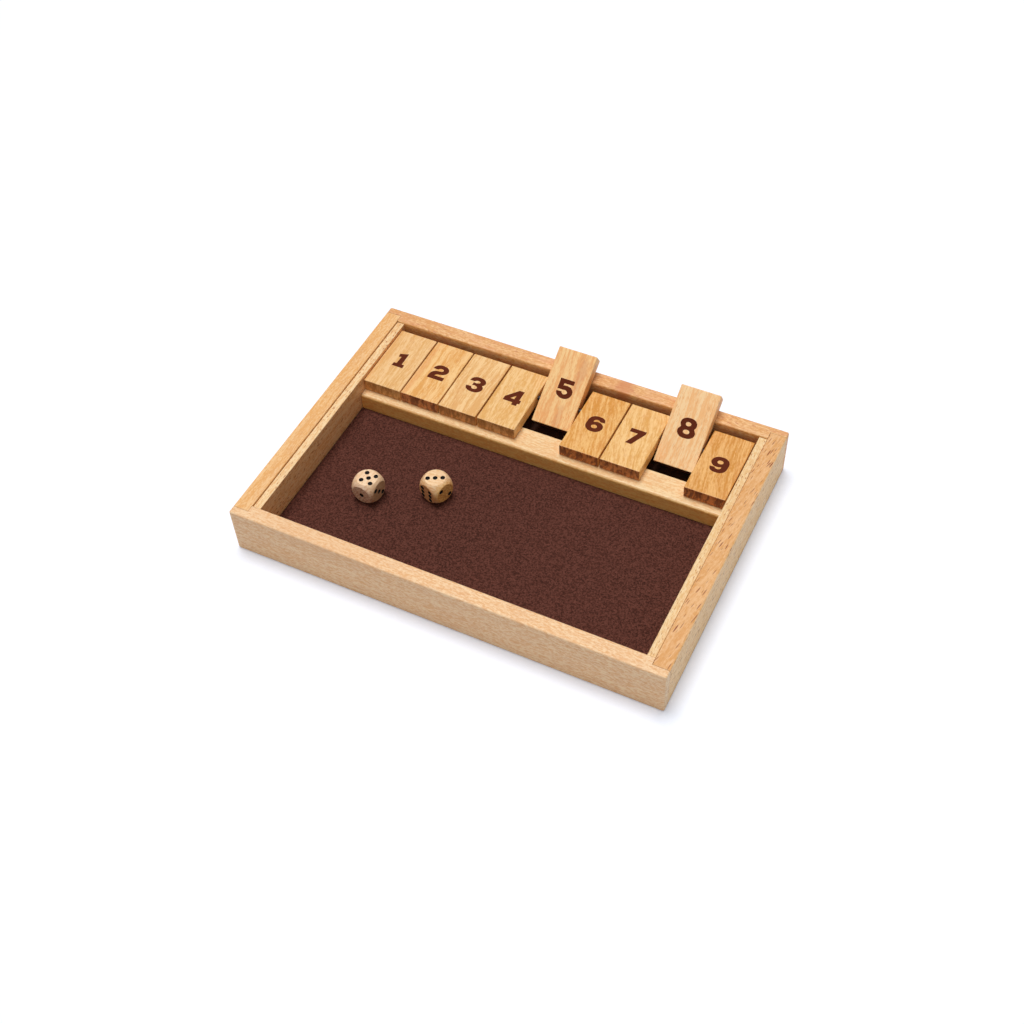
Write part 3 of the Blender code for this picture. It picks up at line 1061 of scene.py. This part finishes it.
# Places of the pips on a face, in half pip spacings
PIP_PLACES: dict[int, tuple[tuple[int, int], ...]] = {
    1: ((0, 0),), 2: ((-1, 1), (1, -1)), 3: ((-1, 1), (0, 0), (1, -1)),
    4: ((-1, 1), (1, 1), (-1, -1), (1, -1)), 5: ((-1, 1), (1, 1), (0, 0), (-1, -1), (1, -1)),
    6: ((-1, 1), (-1, 0), (-1, -1), (1, 1), (1, 0), (1, -1)),
}


@dataclass
class Die:
    """One wooden die: a cube turned down by a ball, with sunk and painted pips."""

    effects: Effects
    node: str
    slot: str
    wood: WoodFinish
    paint: PaintFinish
    faces: tuple[tuple[str, int, bool, tuple[float, float]], ...]
    turn: float
    side: float = 16.0 * MM
    ball_radius: float = 10.3 * MM
    edge_round: float = 0.25 * MM
    pip_spacing: float = 6.5 * MM
    pip_radius: float = 1.48 * MM
    pip_depth: float = 0.8 * MM

    @property
    def place(self) -> Matrix:
        """Where the die lies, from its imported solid."""
        centre, _ = box_of(self.node)
        return Matrix.Translation(centre) @ Matrix.Rotation(self.turn, 4, "Z")

    def build(self) -> Piece:
        """Turns, rounds and drills the die.

        Returns:
            The die, at its place.
        """
        clear_selection()
        bpy.ops.mesh.primitive_cube_add(size=self.side)
        die = bpy.context.active_object
        die.name = f"{self.node}_turned"
        centre, half = box_of(self.node)
        die.data.materials.append(self.wood.material(self.effects, centre, half * 1.4, edge_highlight=0.0))
        clear_selection()
        bpy.ops.mesh.primitive_uv_sphere_add(segments=96, ring_count=48, radius=self.ball_radius)
        ball = bpy.context.active_object
        ball.data.materials.append(die.data.materials[0])
        apply_modifier(die, "BOOLEAN", operation="INTERSECT", solver="EXACT", object=ball)
        apply_modifier(
            die, "BEVEL", width=self.edge_round, segments=3, limit_method="ANGLE",
            angle_limit=math.radians(20),
        )
        drill = self._drill()
        apply_modifier(
            die, "BOOLEAN", operation="DIFFERENCE", solver="EXACT", object=drill,
            material_mode="TRANSFER",
        )
        for tool in (ball, drill):
            bpy.data.objects.remove(tool)
        only(die)
        bpy.ops.object.shade_smooth_by_angle(angle=math.radians(28))
        die.matrix_world = self.place
        settle(die)
        return die

    def _drill(self) -> Piece:
        """Makes the balls that sink all the pips, painted.

        Returns:
            One object that holds them all.
        """
        ball = (self.pip_radius**2 + self.pip_depth**2) / (2 * self.pip_depth)
        height = self.side / 2 + ball - self.pip_depth
        made = []
        for face, count, quarter, (right_share, up_share) in self.faces:
            outward, right, upward = (Vector(axis) for axis in FACE_AXES[face])
            middle = (right * right_share + upward * up_share) * self.pip_spacing
            for across, along in PIP_PLACES[count]:
                if quarter:
                    across, along = -along, across
                offset = middle + (right * across + upward * along) * self.pip_spacing / 2
                clear_selection()
                bpy.ops.mesh.primitive_uv_sphere_add(
                    segments=32, ring_count=16, radius=ball, location=outward * height + offset,
                    rotation=outward.to_track_quat("Z", "Y").to_euler(),
                )
                made.append(bpy.context.active_object)
        clear_selection()
        for piece in made:
            piece.select_set(True)
        bpy.context.view_layer.objects.active = made[0]
        bpy.ops.object.join()
        drill = bpy.context.active_object
        drill.data.materials.clear()
        drill.data.materials.append(self.paint.material(self.effects))
        return drill

    def dress(self, die: Piece) -> None:
        """Puts the die on the body that it rides on and hides the solid that it stands for."""
        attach(die, self.node)
        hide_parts(self.node)
        log.info("turned %s", die.name)


@dataclass
class Studio:
    """The floor, the light and the camera."""

    camera_place: Triple = (0.273267, -0.503031, 0.675896)
    camera_right: Triple = (0.896294, 0.441983, -0.036166)
    camera_up: Triple = (-0.317800, 0.697057, 0.642740)
    camera_forward: Triple = (-0.309290, 0.564591, -0.765230)
    focal_pixels: float = 1427.973
    frame_pixels: float = 1024.0
    sensor: float = 36.0
    floor_reach: float = 3.0
    floor_inset: float = 1.3 * MM
    floor_drop: float = 0.05 * MM
    floor_colour: Colour = (0.87, 0.90, 0.97, 1.0)
    floor_glow: float = 0.19
    glow_colour: Colour = (0.76, 0.85, 1.0, 1.0)
    sky: float = 0.30
    sun: float = 2.20
    sun_spread: float = math.radians(26)
    sun_from: Triple = (-0.14, 0.11, 1.0)

    def build(self) -> None:
        """Sets up everything round the game."""
        self._floor()
        self._sky()
        self._sun()
        self._camera()
        bpy.context.scene.view_settings.view_transform = "Standard"

    def _floor(self) -> None:
        """Lays the white floor, open under the tray and seen through from below."""
        low, high = (Vector(corner) for corner in CAD_BOX)
        _, half = box_of("front_rail")
        reach = (half.x - self.floor_inset, -low.y - self.floor_inset)
        clear_selection()
        bpy.ops.mesh.primitive_plane_add(size=2)
        floor = bpy.context.active_object
        floor.name = "studio_floor"
        floor.scale = (reach[0] + self.floor_reach, reach[1] + self.floor_reach, 1)
        floor.location.z = -self.floor_drop
        settle(floor)
        bpy.ops.object.mode_set(mode="EDIT")
        bpy.ops.mesh.select_all(action="SELECT")
        bpy.ops.mesh.inset(thickness=self.floor_reach, use_even_offset=True)
        bpy.ops.mesh.delete(type="FACE")
        bpy.ops.object.mode_set(mode="OBJECT")
        surface = Surface("studio_white")
        seen = surface.add("ShaderNodeLightPath").outputs["Is Camera Ray"]
        surface.finish(
            {
                "Base Color": self.floor_colour, "Roughness": 1.0, "Specular IOR Level": 0.0,
                "Emission Color": self.glow_colour,
                "Emission Strength": surface.times(seen, self.floor_glow),
            }
        )
        back = surface.add("ShaderNodeNewGeometry").outputs["Backfacing"]
        clear = surface.add("ShaderNodeBsdfTransparent").outputs[0]
        both = surface.add("ShaderNodeMixShader", {0: back, 1: surface.shader.outputs[0], 2: clear})
        surface.feed(surface.tree.nodes["Material Output"].inputs["Surface"], both.outputs[0])
        floor.data.materials.append(surface.made)

    def _sky(self) -> None:
        """Lights the scene softly from all sides, with white behind what is seen or mirrored."""
        world = bpy.data.worlds.new("studio_sky")
        bpy.context.scene.world = world
        world.use_nodes = True
        graph = Graph(world.node_tree)
        nodes = world.node_tree.nodes
        soft = nodes["Background"]
        graph.feed(soft.inputs["Color"], (self.sky, self.sky, self.sky, 1.0))
        white = graph.add("ShaderNodeBackground", {"Color": (1.0,) * 4}).outputs[0]
        path = graph.add("ShaderNodeLightPath").outputs
        seen = graph.math("MAXIMUM", path["Is Camera Ray"], path["Is Glossy Ray"])
        seen = graph.math("MAXIMUM", seen, path["Is Transmission Ray"])
        both = graph.add("ShaderNodeMixShader", {0: seen, 1: soft.outputs[0], 2: white})
        graph.feed(nodes["World Output"].inputs["Surface"], both.outputs[0])

    def _sun(self) -> None:
        """Adds one broad lamp high above, a little to the left and back."""
        data = bpy.data.lights.new("broad_lamp", "SUN")
        data.energy = self.sun
        data.angle = self.sun_spread
        lamp = bpy.data.objects.new("broad_lamp", data)
        lamp.rotation_mode = "QUATERNION"
        lamp.rotation_quaternion = Vector(self.sun_from).to_track_quat("Z", "Y")
        bpy.context.scene.collection.objects.link(lamp)

    def _camera(self) -> None:
        """Stands the camera where the photograph was taken from."""
        data = bpy.data.cameras.new("studio_camera")
        data.sensor_width = self.sensor
        data.lens = self.focal_pixels / self.frame_pixels * self.sensor
        data.clip_start = 0.01
        data.clip_end = 20.0
        camera = bpy.data.objects.new("studio_camera", data)
        axes = (self.camera_right, self.camera_up, -Vector(self.camera_forward))
        turn = Matrix(axes).transposed().to_4x4()
        camera.matrix_world = Matrix.Translation(self.camera_place) @ turn
        bpy.context.scene.collection.objects.link(camera)
        bpy.context.scene.camera = camera


FRONT: Triple = (0.0, -1.0, 0.0)
RIGHT: Triple = (1.0, 0.0, 0.0)
# Direction of a tipped tile's tail end, which carries painted shadow
TAIL_WHEN_TIPPED: Triple = (0.0, -0.850, -0.526)


def rail_finishes() -> dict[str, WoodFinish]:
    """The finish of each board of the tray, by its node."""
    pore = tint(176, 112, 66)
    return {
        "front_rail": WoodFinish(
            "front_rail_wood", pale=tint(249, 213, 168), dark=tint(233, 177, 120),
            pore=tint(206, 140, 92), grain=Grain.ALONG_X, heart=(0.31, 0.060, 0.090), runout=0.02,
            bands=0.18, streaks=0.15, rings=0.08, dashes=0.35, dash_length=4.5 * MM,
            dash_width=0.55 * MM,
            dash_spots=(
                Spot((-0.080, 0.002, 0.017), (0.045, 0.004, 0.010), 0.6),
                Spot((0.110, 0.002, 0.017), (0.025, 0.004, 0.010), 0.45),
            ),
            stains=(
                Stain(Spot((-0.080, 0.0, 0.017), (0.060, 0.02, 0.012), 0.3), tint(228, 172, 120)),
            ),
            # Painted light: the right end is made cooler and paler, as bluish light bounced from the
            # white floor would show it
            painted_side_light=(PaintedSideLight(RIGHT, (1.12, 1.38, 1.68)),),
        ),
        "back_rail": WoodFinish(
            "back_rail_wood", pale=tint(242, 193, 136), dark=tint(220, 154, 86),
            pore=tint(206, 132, 92), blush=tint(226, 156, 112), grain=Grain.ALONG_X,
            heart=(0.87, 0.045, 0.070), runout=-0.01, blotches=0.5, dashes=0.85,
            dash_length=2.6 * MM, dash_width=0.62 * MM,
            stains=(
                Stain(Spot((0.033, 0.0, 0.017), (0.008, 0.02, 0.012), 0.65), tint(208, 128, 78)),
            ),
            # Painted light: the inner front face is lifted as if better lit, and the right end made
            # cooler and paler as if lit by the white floor
            painted_side_light=(PaintedSideLight(FRONT, (1.20, 1.26, 1.18)), PaintedSideLight(RIGHT, (1.25, 1.50, 1.75))),
        ),
        "left_rail": WoodFinish(
            "left_rail_wood", pale=tint(244, 196, 137), dark=tint(230, 166, 90), pore=pore,
            grain=Grain.ALONG_Y, heart=(1.43, 0.050, 0.080), dashes=0.2,
        ),
        "right_rail": WoodFinish(
            "right_rail_wood", pale=tint(236, 185, 130), dark=tint(218, 154, 82),
            pore=tint(134, 60, 28), blush=tint(240, 178, 120), grain=Grain.ALONG_Y,
            heart=(1.91, 0.055, 0.065), runout=0.17, wave=5.0 * MM, bands=0.2, fibres=0.5,
            mottle=0.4, dash_length=5.0 * MM, dash_width=0.55 * MM, dashes=0.75,
            # Painted light: the outer right face is made cooler and paler, as bluish light bounced
            # from the white floor would show it
            painted_side_light=(PaintedSideLight(RIGHT, (1.18, 1.50, 1.95)),),
            dash_spots=(
                Spot((0.0, 0.071, 0.012), (0.012, 0.030, 0.02), 1.0),
                Spot((0.0, -0.064, 0.012), (0.012, 0.022, 0.02), 0.95),
                Spot((0.0, -0.006, 0.012), (0.012, 0.020, 0.02), 0.9),
            ),
        ),
        "left_liner": WoodFinish(
            "left_liner_wood", pale=tint(250, 217, 167), dark=tint(233, 181, 118),
            pore=tint(174, 106, 60), grain=Grain.ALONG_Y, heart=(2.33, 0.040, 0.060), dashes=0.95,
            # Painted shade: the inner face toward the felt is made warmer and duller, as in the shade
            # inside the tray
            dash_length=2.0 * MM, dash_width=0.52 * MM, painted_side_light=(PaintedSideLight(RIGHT, (1.06, 0.92, 0.82)),),
        ),
        "right_liner": WoodFinish(
            "right_liner_wood", pale=tint(246, 214, 164), dark=tint(230, 183, 120),
            pore=tint(180, 114, 64), grain=Grain.ALONG_Y, heart=(2.77, 0.040, 0.060), dashes=0.95,
            dash_length=2.0 * MM, dash_width=0.52 * MM,
        ),
        "tile_ledge": WoodFinish(
            "ledge_wood", pale=tint(247, 214, 163), dark=tint(235, 184, 124), pore=pore,
            grain=Grain.ALONG_X, heart=(3.21, 0.050, 0.050), dashes=0.2,
            # Painted shade: the front face is made warmer and more saturated, as in the shade of the
            # recess
            painted_side_light=(PaintedSideLight(FRONT, (1.07, 0.88, 0.50)),),
        ),
    }


def tile_finishes() -> dict[int, WoodFinish]:
    """The finish of each tile, by its number."""
    # Pale and dark colour, the factors on its ends for pale and dark figure, and its stains
    even = ((0.90, 0.76, 0.58), (0.66, 0.50, 0.34))
    mauve = ((0.86, 0.68, 0.55), (0.62, 0.47, 0.37))
    brown = ((0.88, 0.62, 0.42), (0.56, 0.40, 0.26))
    red = ((0.78, 0.47, 0.36), (0.33, 0.17, 0.12))
    looks = {
        1: ((243, 198, 138), (225, 169, 96), even, ()),
        2: ((246, 198, 131), (225, 159, 74), red, (
            Stain(Spot((-0.011, -0.004, 0.004), (0.0030, 0.045, 0.01), 0.5), tint(226, 150, 78)),
        )),
        3: ((246, 203, 142), (226, 169, 97), brown, ()),
        4: ((244, 199, 135), (224, 166, 84), mauve, ()),
        5: ((255, 210, 144), (242, 173, 102), red, (
            Stain(Spot((0.007, -0.012, 0.0), (0.0040, 0.016, 0.03), 0.45), tint(212, 130, 78)),
            Stain(Spot((0.003, 0.020, 0.0), (0.0035, 0.012, 0.03), 0.35), tint(214, 136, 84)),
        )),
        6: ((241, 187, 111), (214, 142, 45), red, ()),
        7: ((246, 199, 131), (223, 162, 77), red, ()),
        8: ((255, 216, 161), (247, 187, 121), red, ()),
        9: ((238, 181, 107), (207, 136, 40), red, ()),
    }
    made = {}
    for number, (pale, dark, (end_pale, end_dark), stains) in looks.items():
        made[number] = WoodFinish(
            f"tile_{number}_wood", pale=tint(*pale), dark=tint(*dark), pore=tint(190, 118, 66),
            blush=tint(236, 172, 112), grain=Grain.ALONG_Y,
            heart=(4.0 + 0.61 * number, 0.030 + 0.004 * (number * 5 % 7), 0.034),
            runout={6: -0.24, 7: -0.20, 9: -0.18, 2: -0.05, 4: -0.08}.get(number, 0.0),
            wave=11.0 * MM, band_length=70.0 * MM, band_width=5.0 * MM,
            bands=0.5 if number in (6, 7, 9) else 0.8, streak_width=1.9 * MM, streaks=0.75,
            fibres=0.5, mottle=0.3, depth=3.0, ring_spacing=4.1 * MM, rings=0.12, dashes=0.3,
            dash_length=2.8 * MM, dash_width=0.42 * MM, end_pale=(*end_pale, 1.0),
            end_dark=(*end_dark, 1.0), stains=stains, highlight_width=0.5 * MM,
            # Painted shadow: tiles 5 and 8 get nearly black tail ends, which face down into the dark
            # slot when tipped
            painted_side_light=(PaintedSideLight(TAIL_WHEN_TIPPED, (0.15, 0.11, 0.10)),) if number in (5, 8) else (),
        )
    return made


def dice_of(effects: Effects) -> tuple[Die, Die]:
    """The two dice as they lie on the felt.

    Args:
        effects: The shared node groups.

    Returns:
        The left die and the right die.
    """
    paint = PaintFinish("pip_paint", tint(12, 8, 7), tint(24, 15, 12), 0.4, 0.08, 0.3)
    pore = tint(160, 110, 70)

    def painted_facet_shade(turn: float, left: Triple, right: Triple) -> tuple[PaintedSideLight, PaintedSideLight]:
        """The painted light and shade of the two upright faces that a turned die shows to the front
        and right.
        """
        angle = math.radians(turn)
        return (
            PaintedSideLight((math.sin(angle), -math.cos(angle), 0.0), left),
            PaintedSideLight((math.cos(angle), math.sin(angle), 0.0), right),
        )

    # Each die's two upright faces carry painted light and shade, one darker and one lighter or cooler
    pale = WoodFinish(
        "pale_die_wood", pale=tint(250, 217, 179), dark=tint(236, 192, 148), pore=pore,
        grain=Grain.ALONG_Y, heart=(9.1, 0.03, 0.03), band_width=1.6 * MM, ring_spacing=1.6 * MM,
        rings=0.25, dashes=0.15, painted_side_light=painted_facet_shade(-4.0, (0.93, 1.01, 1.27), (0.63, 0.55, 0.46)),
    )
    warm = WoodFinish(
        "warm_die_wood", pale=tint(248, 212, 168), dark=tint(234, 184, 128), pore=pore,
        grain=Grain.ALONG_X, heart=(9.7, 0.03, 0.03), band_width=1.6 * MM, ring_spacing=1.6 * MM,
        rings=0.25, dashes=0.15, painted_side_light=painted_facet_shade(-18.5, (0.79, 0.61, 0.47), (1.11, 1.03, 0.62)),
    )
    left_faces = (
        ("+Z", 5, False, (0.170, 0.010)), ("-Z", 2, False, (0.0, 0.0)),
        ("-Y", 1, False, (0.05, -0.03)), ("+Y", 6, False, (0.02, 0.0)),
        ("+X", 3, False, (-0.03, -0.05)), ("-X", 4, False, (0.0, 0.0)),
    )
    right_faces = (
        ("+Z", 3, True, (0.018, -0.025)), ("-Z", 4, False, (0.0, 0.0)),
        ("-Y", 6, False, (-0.05, -0.1)), ("+Y", 1, False, (0.0, 0.0)),
        ("+X", 2, False, (0.04, 0.017)), ("-X", 5, False, (0.0, 0.0)),
    )
    return (
        Die(effects, "die_left", "pale_dice_wood", pale, paint, left_faces, math.radians(-4.0)),
        Die(effects, "die_right", "warm_dice_wood", warm, paint, right_faces, math.radians(-18.5)),
    )


def main() -> None:
    """Builds and dresses the game, then sets up the studio."""
    logging.basicConfig(level=logging.INFO, format="%(message)s")
    effects = Effects()
    board = BoardFinish(tint(70, 40, 34), tint(134, 98, 66), tint(108, 76, 50))
    # The steel's colours are much darker than bare steel: painted shade on the rod, which lies
    # between the tiles
    steel = SteelFinish(tint(76, 74, 76), tint(50, 47, 47))
    Tray(effects, rail_finishes(), board, steel).dress()

    wool = FeltFinish(tint(16, 5, 4), tint(63, 32, 25), tint(130, 80, 68))
    felt = PlayingFelt(effects, wool)
    felt.dress(felt.build())

    ink = PaintFinish("number_ink", tint(93, 38, 19), tint(120, 58, 32), 0.6, 0.05, 0.35)
    tiles = TileRow(effects, tile_finishes(), ink, PRINTS)
    tiles.dress(tiles.build())

    for die in dice_of(effects):
        die.dress(die.build())
    Studio().build()


if __name__ == "__main__":
    main()
